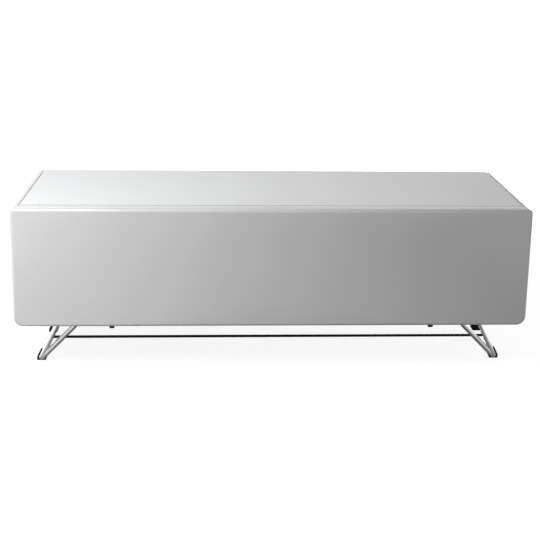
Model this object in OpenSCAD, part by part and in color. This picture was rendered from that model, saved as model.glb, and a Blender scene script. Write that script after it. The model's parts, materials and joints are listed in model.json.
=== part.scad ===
// Long low television stand: a white cabinet with a full-width drop front,
// a glass top and chrome V legs joined by thin black bars.
// X runs across, the front faces -Y and Z is up. The origin is on the floor
// under the middle of the cabinet. All sizes are in millimetres.

/* [Overall] */
// Overall width
stand_w = 1500; // [1300:10:1800]
// Depth from the front face to the back edge
stand_d = 450; // [420:5:520]
// Height of the cabinet without its legs
body_h = 355; // [330:5:400]
// Clear height under the cabinet
leg_h = 155; // [140:1:175]

/* [Panels] */
// Thickness of the sides, bottom and divider
panel_t = 18; // [16:1:20]
// Thickness of the board under the glass
top_t = 18; // [15:1:22]
// Radius of the upper corners, seen from the front
upper_corner_r = 12; // [10:1:14]
// Radius of the lower corners, seen from the front
lower_corner_r = 28; // [20:1:30]
// Depth of the front rail, front to back
rail_t = 21; // [16:1:28]
// Height of the front rail
rail_h = 60; // [48:1:75]
// Diameter of the joint dowels
dowel_d = 8; // [6:1:10]
// Length of the joint dowels
dowel_len = 32; // [26:1:40]
// How far a dowel goes into the thickness of a panel
dowel_sink = 11; // [8:1:12]
// Distance of the outer dowels from the panel ends
dowel_inset = 50; // [35:1:80]
// Wood left round a dowel in the rounded lower corner
corner_skin = 2; // [1:0.5:3]

/* [Glass top] */
// Thickness of the glass
glass_t = 5; // [4:0.5:8]
// Gap around the glass
glass_gap = 2.5; // [1.5:0.5:4]
// Corner radius of the glass
glass_corner_r = 4; // [2:1:10]
// Thickness of the clear pads under the glass
pad_t = 1; // [0.8:0.1:2]
// Diameter of the pads
pad_d = 12; // [8:1:20]
// Distance of the outer pads from the glass edges
pad_inset = 40; // [25:5:80]

/* [Back and cable ports] */
// Thickness of the back panels
back_t = 8; // [5:1:12]
// Gap between and around the back panels
back_gap = 1; // [0.5:0.5:2]
// Clear diameter of a cable port
port_d = 50; // [30:1:60]
// Wall of the port's sleeve
port_wall = 2.5; // [2:0.5:4]
// Width of the port's outer flange
flange_w = 6; // [4:1:9]
// Thickness of that flange, which is also the recess of the back panels
flange_t = 2; // [1.8:0.1:3]
// Thickness of a back screw's head
back_head_t = 1.5; // [1:0.1:1.7]

/* [Shelves] */
// Thickness of the shelves
shelf_t = 18; // [15:1:22]
// Gap at each end of a shelf
shelf_fit = 1; // [0.5:0.5:2]
// Room behind a shelf for cables
shelf_rear_gap = 22; // [10:1:40]
// Room between a shelf and the folded flap stay
shelf_front_gap = 7; // [4:1:30]
// Height of the lowest shelf hole over the bottom panel
row_first = 76; // [60:1:90]
// Pitch of the shelf holes
row_pitch = 32; // [25:1:34]
// Number of shelf holes in a column
row_count = 5; // [3:1:5]
// Shelf hole in use, counted from 0
shelf_row = 2; // [0:1:2]
// Distance of the shelf holes from the shelf's front and back edges
row_inset = 37; // [20:1:60]
// Diameter of the shelf pins
pin_d = 5; // [4:0.5:6]
// How far a shelf pin stands out
pin_out = 9; // [7:1:14]
// Half the height of a shelf pin's flat head
pin_half_h = 3; // [3:0.5:5]
// Width of a shelf pin's flat head
pin_w = 9; // [7:1:14]

/* [Drop front] */
// Thickness of the drop front
front_t = 18; // [16:1:22]
// Radius of its rounded front edges
front_edge_r = 9; // [5:1:9]
// Gap between the closed front and the cabinet
seam = 2; // [1.8:0.1:3]
// Diameter of the bumpers in that gap
bumper_d = 10; // [8:1:14]
// Air left between a closed front and what it nearly touches
touch_gap = 0.3; // [0.2:0.1:0.5]

/* [Hinges] */
// Distance of each hinge from the cabinet's side
hinge_inset = 280; // [120:1:600]
// Hinge axis behind the inner face of the front
hinge_set = 7; // [6:0.5:9]
// Hinge axis below the cabinet
hinge_drop = 9; // [8:0.5:11]
// Diameter of the knuckles
knuckle_d = 10; // [9:0.5:12]
// Diameter of the hinge pin
hinge_pin_d = 4; // [3:0.5:5]
// Length of the middle knuckle
knuckle_mid = 5; // [4:0.5:8]
// Length of each outer knuckle
knuckle_end = 4; // [3:0.5:6]
// Side gap between knuckles
knuckle_gap = 0.3; // [0.2:0.1:0.5]
// Height of the hinge pin's head, which also stands out as far all round
pin_head_t = 1; // [0.5:0.1:1.5]
// Width of the hinge leaves
leaf_w = 50; // [40:1:70]
// Thickness of the hinge leaves
leaf_t = 2; // [1.5:0.1:2.5]
// Length of the hinge leaves
leaf_len = 40; // [34:1:60]
// Distance of the leaf's screw heads from its edges
leaf_edge = 2; // [1:0.5:3]
// How much nearer the outer screws of a leaf are to its knuckle
leaf_stagger = 4; // [0:1:8]
// Radial clearance of every pin in its bore
run_gap = 0.08; // [0.05:0.01:0.1]

/* [Flap stays] */
// Length of the stay arm between its pivots
stay_len = 125; // [100:1:140]
// Height of the damper's pivot over the hinge axis
stay_up = 51; // [47:1:60]
// Distance of the damper's pivot behind the hinge axis
stay_in = 45; // [40:1:60]
// Distance of the bracket's pivot from the inner face of the front
stay_off = 13; // [12:0.5:16]
// Thickness of the stay's arm and link
stay_t = 3; // [2:0.5:4]
// Radius of the eyes at the ends of the arm and link
eye_r = 7; // [6.5:0.5:8]
// Width of the arm and link between their eyes
bar_w = 12; // [8:1:12]
// Diameter of the pivot pins at the link
link_pin_d = 5; // [4:0.5:6]
// Diameter of the damper's shaft
damper_pin_d = 8; // [6:0.5:9]
// Thickness of the caps on the link pins
cap_t = 1.5; // [1:0.5:2.5]
// How far those caps stand out round their pins
cap_rim = 2; // [1:0.5:3]
// Thickness of the cap on the damper's shaft
damper_cap_t = 2; // [1:0.5:3]
// How far that cap stands out round the shaft
damper_cap_rim = 3; // [1:0.5:4]
// Side gap between the stay's plates
plate_gap = 0.3; // [0.2:0.1:0.6]
// Radius of the damper's round body
damper_r = 18; // [14:1:20]
// Thickness of the damper
damper_t = 14; // [10:1:18]
// Length of the damper behind its pivot
damper_len = 38; // [30:1:50]
// Step from the damper's round body to its flat rear part
damper_step = 1; // [1:0.5:3]
// Length of its screw flange
flange_len = 20; // [16:1:30]
// Thickness of the screw flange
damper_flange_t = 2.5; // [2:0.5:4]
// Distance of the flange's screws above and below its middle
flange_screw_z = 8; // [6:0.5:9]
// How much less the flange reaches up and down than the round body
flange_step = 2; // [1:0.5:2]
// Height of the bracket's foot on the front
bracket_h = 46; // [42:1:60]
// Width of the bracket's foot
bracket_w = 26; // [22:1:32]
// Thickness of the bracket's foot
bracket_t = 2.5; // [2:0.5:3]
// Distance of its screws from its upper and lower ends
bracket_screw_in = 7; // [5:0.5:8]
// How much wider the arm's eye is at the damper than at the elbow
arm_eye_extra = 2; // [1:0.5:4]

/* [Small screws] */
// Shank diameter of the small screws
screw_d = 3.5; // [2.5:0.1:4]
// Head diameter of the small screws
screw_head_d = 7; // [6:0.5:8]
// Head height of the small screws
screw_head_t = 0.9; // [0.6:0.1:1.2]
// Length of the small screws in the wood
screw_len = 12; // [8:1:13]
// Clearance around a fastener or dowel
drill_gap = 0.1; // [0.05:0.05:0.15]

/* [Push latches] */
// Distance of each latch from the cabinet's side
latch_inset = 190; // [150:10:400]
// Diameter of the latch body
latch_d = 10; // [9:0.5:12]
// Length of the latch body behind the rail's face
latch_len = 50; // [46:1:70]
// Wall at the closed end of the latch body
latch_end = 3; // [2:0.5:6]
// Diameter of the plunger
plunger_d = 6; // [4:0.5:7]
// Travel of the plunger
plunger_travel = 20; // [10:1:24]
// Length of the plunger that stays in the latch when it is out
plunger_hold = 18; // [12:1:18]
// Gap between the latch body and the board above
latch_gap = 5; // [3:1:8]
// Diameter of the latch's collar and of its strike plate
strike_d = 16; // [14:1:20]
// Thickness of the strike plate and of the collar
strike_t = 1; // [0.8:0.1:1.2]

/* [Legs] */
// Distance of a foot from the cabinet's side
leg_inset = 55; // [45:1:120]
// Distance of the leg plane from the front or back face
leg_back = 116; // [105:1:150]
// Diameter of the leg tube
tube_d = 16; // [14:1:19]
// Wall of the leg tube
tube_wall = 1.5; // [1:0.5:3]
// How far the steep arm leans inwards
steep_run = 70; // [58:1:80]
// How far the shallow arm leans inwards
shallow_run = 145; // [124:1:160]
// Thickness of the leg plate
plate_t = 5; // [3:1:6]
// Width of the leg plate, front to back
plate_w = 58; // [54:1:70]
// How far the leg plate reaches past each arm
plate_reach = 16; // [14:1:22]
// Diameter of the leg screws
leg_screw_d = 5; // [4:0.5:6]
// Head diameter of the leg screws
leg_head_d = 10; // [8:0.5:11]
// Head height of the leg screws
leg_head_t = 3; // [2:0.5:4]
// Length of the leg screws in the wood
leg_screw_len = 12; // [8:1:13]
// Distance of the leg screws from the plate's ends
plate_screw_end = 9; // [7:1:11]
// Distance of the leg screws from the plate's long edges
plate_screw_edge = 8; // [7:1:11]

/* [Shoes] */
// Height of the shoe's outer wall
shoe_h = 33; // [28:1:40]
// Height of the shoe's inner wall
shoe_low_h = 11; // [9:1:16]
// Wall of the shoe beside the tube
shoe_wall = 5; // [3:0.5:6]
// Sole under the tube
shoe_sole = 1.5; // [1.5:0.5:4]
// How far the shoe reaches in front of the middle of the tube
shoe_front = 2; // [1:0.5:2.5]
// How far the shoe reaches behind the middle of the tube
shoe_rear = 12; // [10:1:14]
// Clearance round the tube in its shoe
tube_fit = 0.15; // [0.1:0.05:0.3]

/* [Bars between the legs] */
// Diameter of the bars
bar_d = 8; // [6:0.5:10]
// Radius of the flat eye at each end of a bar
bar_eye_r = 7; // [6:0.5:9]
// How much thicker the eye is than the bar
bar_eye_extra = 1; // [0.5:0.5:2]
// Gap between the leg tube and the bar's eye
bar_gap = 0.3; // [0.2:0.1:1]
// Height of the middle of the bars over the floor
bar_z = 69; // [60:1:90]
// Diameter of the bar bolts
bolt_d = 5; // [4:0.5:6]
// Head diameter of the bar bolts
bolt_head_d = 9; // [8:0.5:11]
// Head height of the bar bolts
bolt_head_t = 3; // [2:0.5:5]

/* [Hidden] */
$fn = 48;
LEFT = -1;
RIGHT = 1;
FRONT = -1;
REAR = 1;
// Length by which a cutting solid runs past the face that it cuts
over = 1;

// Main planes of the cabinet
front_y = -stand_d / 2;
back_y = stand_d / 2;
base_z = leg_h;
top_z = leg_h + body_h;
inner_y = front_y + front_t;
carcass_y = inner_y + seam;
rail_y = carcass_y + rail_t;
back_in_y = back_y - flange_t - back_t;
side_x = stand_w / 2 - panel_t;
floor_z = base_z + panel_t;
board_top = top_z - glass_t - pad_t;
board_low = board_top - top_t;
rail_low = top_z - rail_h;

// Hinge axis, and the pivots of the stays when the front is closed
hinge_x = stand_w / 2 - hinge_inset;
axis_y = inner_y + hinge_set;
axis_z = base_z - hinge_drop;
damper_y = axis_y + stay_in;
damper_z = axis_z + stay_up;
bracket_y = inner_y + stay_off;
bracket_z = axis_z + stay_len;
elbow_y = damper_y + bracket_y - axis_y;
elbow_z = damper_z + bracket_z - axis_z;

// Planes of the stay's plates on the right, counted inwards from the side
arm_x1 = side_x - damper_t - plate_gap;
arm_x0 = arm_x1 - stay_t;
link_x1 = arm_x0 - plate_gap;
link_x0 = link_x1 - stay_t;
cap_r = link_pin_d / 2 + cap_rim;
damper_cap_r = damper_pin_d / 2 + damper_cap_rim;
damper_bar_z = damper_r - damper_step;

// Shelves
shelf_z = floor_z + row_first + shelf_row * row_pitch + pin_half_h;
shelf_y0 = elbow_y + eye_r + shelf_front_gap;
shelf_y1 = back_in_y - shelf_rear_gap;
row_ys = [shelf_y0 + row_inset, shelf_y1 - row_inset];
pin_sink = panel_t / 2 - 1;

// Cable ports, in the middle of each of the four compartments
port_x = (side_x + panel_t / 2) / 2;
port_zs = [(floor_z + shelf_z) / 2, (shelf_z + shelf_t + board_low) / 2];
port_hole_r = port_d / 2 + port_wall + drill_gap;

// Places of the dowels and back screws
dowel_ys = [
    rail_y + dowel_inset, (rail_y + back_in_y) / 2, back_in_y - dowel_inset];
low_dowel_z = floor_z - corner_skin - dowel_d / 2;
low_dowel_x = corner_x(low_dowel_z - dowel_d / 2) - corner_skin;
back_xs = [port_x - side_x / 3, port_x, port_x + side_x / 3];
back_zs = [base_z + panel_t / 2, board_top - top_t / 2];
divider_screw_x = panel_t / 4 + back_gap / 4;

// Latches
latch_x = stand_w / 2 - latch_inset;
latch_z = board_low - latch_gap - latch_d / 2;
plunger_y = inner_y + touch_gap;
plunger_len = plunger_travel + plunger_hold;

// Legs, worked out for the right front corner
foot_x = stand_w / 2 - leg_inset;
foot_z = shoe_sole + tube_d / 2;
leg_y = front_y + leg_back;
leg_rise = base_z - foot_z;
steep_x = foot_x - steep_run;
shallow_x = foot_x - shallow_run;
plate_x0 = shallow_x - plate_reach;
plate_x1 = steep_x + plate_reach;
plate_y0 = leg_y - plate_w / 2;
plate_y1 = leg_y + plate_w / 2;
// Share of its own length by which an arm is drawn before it is cut off
arm_run = 1.2;
// The shallow arm starts just inside the round end of the steep arm
start_skip = 1.5;
leg_screws_xy = [
    for (x = [plate_x0 + plate_screw_end, plate_x1 - plate_screw_end],
        y = [plate_y0 + plate_screw_edge, plate_y1 - plate_screw_edge]) [x, y]];

// Bars between the legs
bar_eye_t = bar_d + bar_eye_extra;
bar_y0 = leg_y + tube_d / 2 + bar_gap;
bar_x = foot_x - steep_run * (bar_z - foot_z) / leg_rise;

// Half the cabinet's width at height z in its rounded lower corners
function corner_x(z) = stand_w / 2 - lower_corner_r
    + sqrt(pow(lower_corner_r, 2) - pow(lower_corner_r - (z - base_z), 2));

module block(x0, x1, y0, y1, z0, z1) {
    translate([x0, y0, z0]) cube([x1 - x0, y1 - y0, z1 - z0]);
}

module rod_x(x0, x1, y, z, r) {
    translate([x0, y, z]) rotate([0, 90, 0]) cylinder(h = x1 - x0, r = r);
}

module rod_y(x, y0, y1, z, r) {
    translate([x, y0, z]) rotate([-90, 0, 0]) cylinder(h = y1 - y0, r = r);
}

module rod_z(x, y, z0, z1, r) {
    translate([x, y, z0]) cylinder(h = z1 - z0, r = r);
}

// Extrudes a front-view outline from y0 back to y1
module along_y(y0, y1) {
    translate([0, y1, 0]) rotate([90, 0, 0]) linear_extrude(y1 - y0) children();
}

// Carries what is drawn for the right-hand side to side s
module to_side(s) {
    if (s < 0) mirror([1, 0, 0]) children();
    else children();
}

// Carries what is drawn for the right front corner to any corner
module to_corner(s, d) {
    if (d > 0) mirror([0, 1, 0]) to_side(s) children();
    else to_side(s) children();
}

// What rounding takes off a corner at x, z, whose panel lies towards dx, dz
module corner_bite(x, z, dx, dz, r) {
    difference() {
        translate([x + dx * (r - over) / 2, z + dz * (r - over) / 2])
            square(r + over, center = true);
        translate([x + dx * r, z + dz * r]) circle(r);
    }
}

// Outline of the cabinet, seen from the front
module cabinet_outline() {
    difference() {
        translate([-stand_w / 2, base_z]) square([stand_w, body_h]);
        for (s = [LEFT, RIGHT]) {
            corner_bite(s * stand_w / 2, base_z, -s, 1, lower_corner_r);
            corner_bite(s * stand_w / 2, top_z, -s, -1, upper_corner_r);
        }
    }
}

// Dowels, or with a gap the bores for them
module bottom_dowels(s, gap) {
    for (y = dowel_ys)
        to_side(s) rod_x(low_dowel_x - dowel_len - gap, low_dowel_x + gap, y,
            low_dowel_z, dowel_d / 2 + gap);
}

module top_dowels(s, gap) {
    for (y = dowel_ys)
        to_side(s) rod_x(side_x + dowel_sink - dowel_len - gap,
            side_x + dowel_sink + gap, y, board_top - top_t / 2,
            dowel_d / 2 + gap);
}

module rail_dowels(s, gap) {
    to_side(s) rod_x(side_x + dowel_sink - dowel_len - gap,
        side_x + dowel_sink + gap, (carcass_y + rail_y) / 2,
        (rail_low + top_z) / 2, dowel_d / 2 + gap);
}

module divider_low_dowels(gap) {
    for (y = dowel_ys)
        rod_z(0, y, floor_z - dowel_sink - gap,
            floor_z - dowel_sink + dowel_len + gap, dowel_d / 2 + gap);
}

module divider_top_dowels(gap) {
    for (y = dowel_ys)
        rod_z(0, y, board_low + dowel_sink - dowel_len - gap,
            board_low + dowel_sink + gap, dowel_d / 2 + gap);
}

// Holes for the shelf pins, running dir from the face at x
module shelf_holes(x, dir, depth) {
    for (y = row_ys, k = [0 : row_count - 1]) {
        z = floor_z + row_first + k * row_pitch;
        rod_x(min(x, x + dir * depth), max(x, x + dir * depth), y, z,
            pin_d / 2 + drill_gap);
    }
}

// Small screw along X into a side panel, or with a gap its bore
module side_screw(x, y, z, gap) {
    rod_x(x, x + damper_flange_t + screw_len + gap, y, z, screw_d / 2 + gap);
    if (gap == 0) rod_x(x - 2 * screw_head_t, x, y, z, screw_head_d / 2);
}

module damper_screws(s, gap) {
    to_side(s) for (dz = [-flange_screw_z, flange_screw_z])
        side_screw(side_x - damper_flange_t, damper_y + damper_len + flange_len / 2,
            damper_z + dz, gap);
}

// Back screws, or with a gap the bores for them
module back_screw(x, z, gap) {
    tip_y = back_in_y - screw_len;
    rod_y(x, tip_y - gap, back_in_y + back_t + gap, z, screw_d / 2 + gap);
    if (gap == 0)
        rod_y(x, back_in_y + back_t, back_in_y + back_t + back_head_t, z,
            screw_head_d / 2);
}

module back_screws_of(s, gap) {
    to_side(s) {
        for (x = back_xs, z = back_zs) back_screw(x, z, gap);
        back_screw(divider_screw_x, shelf_z, gap);
    }
}

module side_panel(s) {
    color("white") difference() {
        to_side(s) along_y(carcass_y, back_y) intersection() {
            cabinet_outline();
            translate([side_x, base_z - over])
                square([panel_t + over, body_h + 2 * over]);
        }
        bottom_dowels(s, drill_gap);
        top_dowels(s, drill_gap);
        rail_dowels(s, drill_gap);
        to_side(s) shelf_holes(side_x - over, 1, pin_sink + over + drill_gap);
        damper_screws(s, drill_gap);
    }
}

module bottom_panel() {
    color("white") difference() {
        along_y(carcass_y, back_in_y) intersection() {
            cabinet_outline();
            translate([-side_x, base_z]) square([2 * side_x, panel_t]);
        }
        for (s = [LEFT, RIGHT]) {
            bottom_dowels(s, drill_gap);
            back_screws_of(s, drill_gap);
            base_leaf_screws(s, drill_gap);
            for (d = [FRONT, REAR]) plate_screws(s, d, drill_gap);
        }
        divider_low_dowels(drill_gap);
    }
}

module top_board() {
    color("white") difference() {
        block(-side_x, side_x, rail_y, back_in_y, board_low, board_top);
        for (s = [LEFT, RIGHT]) {
            top_dowels(s, drill_gap);
            back_screws_of(s, drill_gap);
        }
        divider_top_dowels(drill_gap);
    }
}

module front_rail() {
    color("white") difference() {
        block(-side_x, side_x, carcass_y, rail_y, rail_low, top_z);
        for (s = [LEFT, RIGHT]) {
            rail_dowels(s, drill_gap);
            rod_y(s * latch_x, carcass_y - over, rail_y + over, latch_z,
                latch_d / 2 + drill_gap);
        }
    }
}

module centre_divider() {
    color("white") difference() {
        block(-panel_t / 2, panel_t / 2, carcass_y, back_in_y, floor_z, board_low);
        block(-panel_t / 2 - over, panel_t / 2 + over, carcass_y - over, rail_y,
            rail_low, board_low + over);
        shelf_holes(-panel_t / 2 - over, 1, panel_t + 2 * over);
        divider_low_dowels(drill_gap);
        divider_top_dowels(drill_gap);
        for (s = [LEFT, RIGHT]) back_screws_of(s, drill_gap);
    }
}

module shelf(s) {
    color("white") to_side(s)
        block(panel_t / 2 + shelf_fit, side_x - shelf_fit, shelf_y0, shelf_y1,
            shelf_z, shelf_z + shelf_t);
}

module back_panel(s) {
    color("whitesmoke") difference() {
        to_side(s) along_y(back_in_y, back_in_y + back_t) intersection() {
            cabinet_outline();
            translate([back_gap / 2, base_z])
                square([side_x - 1.5 * back_gap, board_top - base_z]);
        }
        for (z = port_zs)
            rod_y(s * port_x, back_in_y - over, back_in_y + back_t + over, z,
                port_hole_r);
        back_screws_of(s, drill_gap);
    }
}

// One ring per compartment, pushed into the back panel from outside
module cable_grommets() {
    color("dimgray") for (s = [LEFT, RIGHT], z = port_zs) difference() {
        union() {
            rod_y(s * port_x, back_in_y, back_in_y + back_t + flange_t, z,
                port_d / 2 + port_wall);
            rod_y(s * port_x, back_in_y + back_t, back_in_y + back_t + flange_t, z,
                port_d / 2 + flange_w);
        }
        rod_y(s * port_x, back_in_y - over, back_y + over, z, port_d / 2);
    }
}

module carcass_dowels() {
    color("burlywood") {
        for (s = [LEFT, RIGHT]) {
            bottom_dowels(s, 0);
            top_dowels(s, 0);
            rail_dowels(s, 0);
        }
        divider_low_dowels(0);
        divider_top_dowels(0);
    }
}

// Pin with a flat head under the shelf, standing out of the face at x
module shelf_pin(x, dir, y) {
    z = shelf_z - pin_half_h;
    x_in = x - dir * pin_sink;
    x_out = x + dir * pin_out;
    rod_x(min(x_in, x), max(x_in, x), y, z, pin_d / 2);
    block(min(x, x_out), max(x, x_out), y - pin_w / 2, y + pin_w / 2,
        z - pin_half_h, z + pin_half_h);
}

module shelf_pins() {
    color("silver") for (s = [LEFT, RIGHT], y = row_ys) to_side(s) {
        shelf_pin(panel_t / 2, 1, y);
        shelf_pin(side_x, -1, y);
    }
}

module back_screws() {
    color("silver") for (s = [LEFT, RIGHT]) back_screws_of(s, 0);
}

module glass_top() {
    x1 = side_x - glass_gap;
    y0 = rail_y + glass_gap;
    color("ghostwhite") translate([0, 0, top_z - glass_t]) linear_extrude(glass_t)
        difference() {
            translate([-x1, y0]) square([2 * x1, back_y - y0]);
            for (s = [LEFT, RIGHT]) {
                corner_bite(s * x1, y0, -s, 1, glass_corner_r);
                corner_bite(s * x1, back_y, -s, -1, glass_corner_r);
            }
        }
}

module glass_pads() {
    x1 = side_x - glass_gap - pad_inset;
    color("gainsboro") for (k = [-2 : 2])
        for (y = [rail_y + pad_inset, back_in_y - pad_inset])
            rod_z(k * x1 / 2, y, board_top, board_top + pad_t, pad_d / 2);
}

module front_bumpers() {
    color("gainsboro") for (k = [-1.5 : 1 : 1.5])
        rod_y(k * side_x / 2, inner_y + touch_gap, carcass_y,
            top_z - bumper_d, bumper_d / 2);
}

// Section across an edge of the front: x towards the edge, y into the depth
module edge_section(reach) {
    difference() {
        square([reach, front_t]);
        difference() {
            translate([reach - front_edge_r, -over])
                square([front_edge_r + over, front_edge_r + over]);
            translate([reach - front_edge_r, front_edge_r]) circle(front_edge_r);
        }
    }
}

// Straight edge of the front from p, running len along the way turn + 90
module edge_strip(p, turn, reach, len) {
    translate([p[0], p[1], 0]) rotate([0, 0, turn]) rotate([90, 0, 0])
        mirror([0, 0, 1]) linear_extrude(len) edge_section(reach);
}

// Quarter turn of the edge around a corner whose centre is p
module edge_corner(p, turn, reach) {
    translate([p[0], p[1], 0]) rotate([0, 0, turn])
        rotate_extrude(angle = 90) edge_section(reach);
}

// The front without its fittings, lying on its face: x across, y up
module front_plate() {
    w = stand_w / 2;
    e = front_edge_r;
    up = upper_corner_r;
    low = lower_corner_r;
    block(e - w, w - e, low, body_h - up, 0, front_t);
    edge_strip([w - e, low], 0, e, body_h - up - low);
    edge_strip([e - w, body_h - up], 180, e, body_h - up - low);
    edge_strip([w - up, body_h - up], 90, up, 2 * (w - up));
    edge_strip([low - w, low], 270, low, 2 * (w - low));
    edge_corner([w - up, body_h - up], 0, up);
    edge_corner([up - w, body_h - up], 90, up);
    edge_corner([low - w, low], 180, low);
    edge_corner([w - low, low], 270, low);
}

module drop_front() {
    color("white") difference() {
        translate([0, front_y, base_z]) mirror([0, 1, 0]) rotate([90, 0, 0])
            front_plate();
        for (s = [LEFT, RIGHT]) {
            to_side(s) block(hinge_x - leaf_w / 2 - drill_gap,
                hinge_x + leaf_w / 2 + drill_gap, inner_y - leaf_t,
                inner_y + over, base_z - over, base_z + leaf_len + drill_gap);
            front_leaf_screws(s, drill_gap);
            bracket_screws(s, drill_gap);
            rod_y(s * latch_x, inner_y - strike_t, inner_y + over, latch_z,
                strike_d / 2 + drill_gap);
        }
    }
}

// Screws of the hinge base, up into the bottom panel
module base_leaf_screws(s, gap) {
    to_side(s) for (dx = [-1, 0, 1]) {
        x = hinge_x + dx * (leaf_w / 2 - screw_head_d / 2 - leaf_edge);
        y = axis_y + leaf_len - screw_head_d / 2 - leaf_edge
            - abs(dx) * leaf_stagger;
        rod_z(x, y, base_z - leaf_t, base_z + screw_len + gap, screw_d / 2 + gap);
        if (gap == 0)
            rod_z(x, y, base_z - leaf_t - 2 * screw_head_t, base_z - leaf_t,
                screw_head_d / 2);
    }
}

// Screws of the hinge leaf, into the inner face of the front
module front_leaf_screws(s, gap) {
    to_side(s) for (dx = [-1, 0, 1]) {
        x = hinge_x + dx * (leaf_w / 2 - screw_head_d / 2 - leaf_edge);
        z = base_z + leaf_len - screw_head_d / 2 - leaf_edge
            - abs(dx) * leaf_stagger;
        rod_y(x, inner_y - screw_len - gap, inner_y, z, screw_d / 2 + gap);
        if (gap == 0)
            rod_y(x, inner_y, inner_y + screw_head_t, z, screw_head_d / 2);
    }
}

module hinge_base(s) {
    mid = knuckle_mid / 2 + knuckle_gap;
    neck_y1 = axis_y + knuckle_d / 2 + over;
    color("dimgray") difference() {
        to_side(s) {
            block(hinge_x - leaf_w / 2, hinge_x + leaf_w / 2, neck_y1,
                axis_y + leaf_len, base_z - leaf_t, base_z);
            for (x0 = [hinge_x - mid - knuckle_end, hinge_x + mid]) {
                rod_x(x0, x0 + knuckle_end, axis_y, axis_z, knuckle_d / 2);
                block(x0, x0 + knuckle_end, axis_y, neck_y1 + over, axis_z, base_z);
            }
        }
        hinge_bore(s);
        base_leaf_screws(s, drill_gap);
    }
}

module hinge_leaf(s) {
    color("dimgray") difference() {
        to_side(s) {
            block(hinge_x - leaf_w / 2, hinge_x + leaf_w / 2, inner_y - leaf_t,
                inner_y, base_z, base_z + leaf_len);
            block(hinge_x - knuckle_mid / 2, hinge_x + knuckle_mid / 2,
                inner_y - leaf_t, inner_y, axis_z, base_z + over);
            block(hinge_x - knuckle_mid / 2, hinge_x + knuckle_mid / 2,
                inner_y - leaf_t, axis_y, axis_z, axis_z + knuckle_d / 2 - over);
            rod_x(hinge_x - knuckle_mid / 2, hinge_x + knuckle_mid / 2, axis_y,
                axis_z, knuckle_d / 2);
        }
        hinge_bore(s);
        front_leaf_screws(s, drill_gap);
    }
}

module hinge_bore(s) {
    reach = knuckle_mid / 2 + knuckle_gap + knuckle_end + over;
    to_side(s) rod_x(hinge_x - reach, hinge_x + reach, axis_y, axis_z,
        hinge_pin_d / 2 + run_gap);
}

module hinge_pins() {
    half = knuckle_mid / 2 + knuckle_gap + knuckle_end;
    head_r = hinge_pin_d / 2 + pin_head_t;
    color("silver") for (s = [LEFT, RIGHT]) to_side(s) {
        rod_x(hinge_x - half, hinge_x + half, axis_y, axis_z, hinge_pin_d / 2);
        rod_x(hinge_x + half, hinge_x + half + pin_head_t, axis_y, axis_z,
            head_r);
    }
}

module carcass_screws() {
    color("silver") for (s = [LEFT, RIGHT]) {
        base_leaf_screws(s, 0);
        damper_screws(s, 0);
    }
}

module front_screws() {
    color("silver") for (s = [LEFT, RIGHT]) {
        front_leaf_screws(s, 0);
        bracket_screws(s, 0);
    }
}

// Flat bar with an eye at each end, between points p and q of the YZ plane
module flat_link(p, q, x0, x1, r_p, r_q, w) {
    run = q - p;
    rod_x(x0, x1, p[0], p[1], r_p);
    rod_x(x0, x1, q[0], q[1], r_q);
    translate([x0, p[0], p[1]]) rotate([atan2(run[1], run[0]), 0, 0])
        translate([0, 0, -w / 2]) cube([x1 - x0, norm(run), w]);
}

// Soft-close damper on the side panel, with the shaft that the arm turns on
module stay_damper(s) {
    y1 = damper_y + damper_len;
    color("lightgray") difference() {
        to_side(s) {
            rod_x(side_x - damper_t, side_x, damper_y, damper_z, damper_r);
            block(side_x - damper_t, side_x, damper_y, y1,
                damper_z - damper_bar_z, damper_z + damper_bar_z);
            block(side_x - damper_flange_t, side_x, y1 - over, y1 + flange_len,
                damper_z - damper_r + flange_step, damper_z + damper_r - flange_step);
            rod_x(arm_x0 - plate_gap, side_x - damper_t + over, damper_y, damper_z,
                damper_pin_d / 2);
            rod_x(arm_x0 - plate_gap - damper_cap_t, arm_x0 - plate_gap, damper_y,
                damper_z, damper_cap_r);
        }
        damper_screws(s, drill_gap);
    }
}

// Arm from the damper up to the elbow, with the elbow's pin
module stay_arm(s) {
    color("silver") to_side(s) {
        difference() {
            flat_link([damper_y, damper_z], [elbow_y, elbow_z], arm_x0, arm_x1,
                eye_r + arm_eye_extra, eye_r, bar_w);
            rod_x(arm_x0 - over, arm_x1 + over, damper_y, damper_z,
                damper_pin_d / 2 + run_gap);
        }
        link_pin(elbow_y, elbow_z);
    }
}

// Pin from the arm's plane through the link, with its cap
module link_pin(y, z) {
    rod_x(link_x0 - plate_gap, arm_x0 + over, y, z, link_pin_d / 2);
    rod_x(link_x0 - plate_gap - cap_t, link_x0 - plate_gap, y, z, cap_r);
}

module stay_link(s) {
    color("silver") to_side(s) difference() {
        flat_link([bracket_y, bracket_z], [elbow_y, elbow_z], link_x0, link_x1,
            eye_r, eye_r, bar_w);
        for (p = [[bracket_y, bracket_z], [elbow_y, elbow_z]])
            rod_x(link_x0 - over, link_x1 + over, p[0], p[1],
                link_pin_d / 2 + run_gap);
    }
}

module bracket_screws(s, gap) {
    to_side(s) for (dz = [-1, 1]) {
        x = arm_x1 - bracket_w / 2;
        z = bracket_z + dz * (bracket_h / 2 - bracket_screw_in);
        rod_y(x, inner_y - screw_len - gap, inner_y + bracket_t, z,
            screw_d / 2 + gap);
        if (gap == 0)
            rod_y(x, inner_y + bracket_t, inner_y + bracket_t + 2 * screw_head_t, z,
                screw_head_d / 2);
    }
}

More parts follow.
